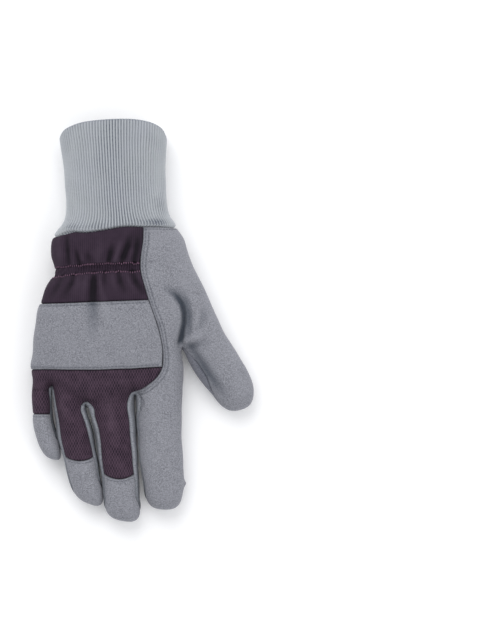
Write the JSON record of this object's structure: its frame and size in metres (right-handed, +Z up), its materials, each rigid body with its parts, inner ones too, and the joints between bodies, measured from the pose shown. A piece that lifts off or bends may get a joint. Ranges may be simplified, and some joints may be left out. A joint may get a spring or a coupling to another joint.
{
  "type": "synthetic suede work glove, right hand",
  "caption": "Work glove with a ribbed knit cuff, shirred plum wrist panel, plum back, plain grey knuckle strap, suede forefinger, thumb, fingertips and palm.",
  "frame": {"origin": "middle of the palm's flat underside, on the surface that the glove lies on", "axes": "+Z up out of the back of the hand, +Y up the arm towards the cuff, +X towards the thumb"},
  "size_m": [0.1662, 0.2944, 0.0446],
  "materials": {
    "knit": "light grey ribbed knit, matt",
    "plum_knit": "dark plum diamond knit, matt with a slight sheen",
    "suede_back": "heathered grey synthetic suede, matt nap",
    "suede_palm": "heathered mid grey synthetic suede, matt nap"
  },
  "bodies": {
    "root": {"knit_cuff": "knit", "wrist_panel": "plum_knit", "knuckle_strap": "suede_back", "back_panel": "plum_knit", "fingertip_cap_middle": "suede_back", "fingertip_cap_ring": "suede_back", "fingertip_cap_little": "suede_back", "forefinger_thumb_back": "suede_back", "thumb_palm": "suede_palm", "fourchette_index_middle": "suede_back", "fourchette_middle_ring": "suede_back", "fourchette_ring_little": "suede_back", "palm_panel": "suede_palm", "forefinger_palm": "suede_palm", "middle_finger_palm": "suede_palm", "ring_finger_palm": "suede_palm"}
  },
  "joints": []
}
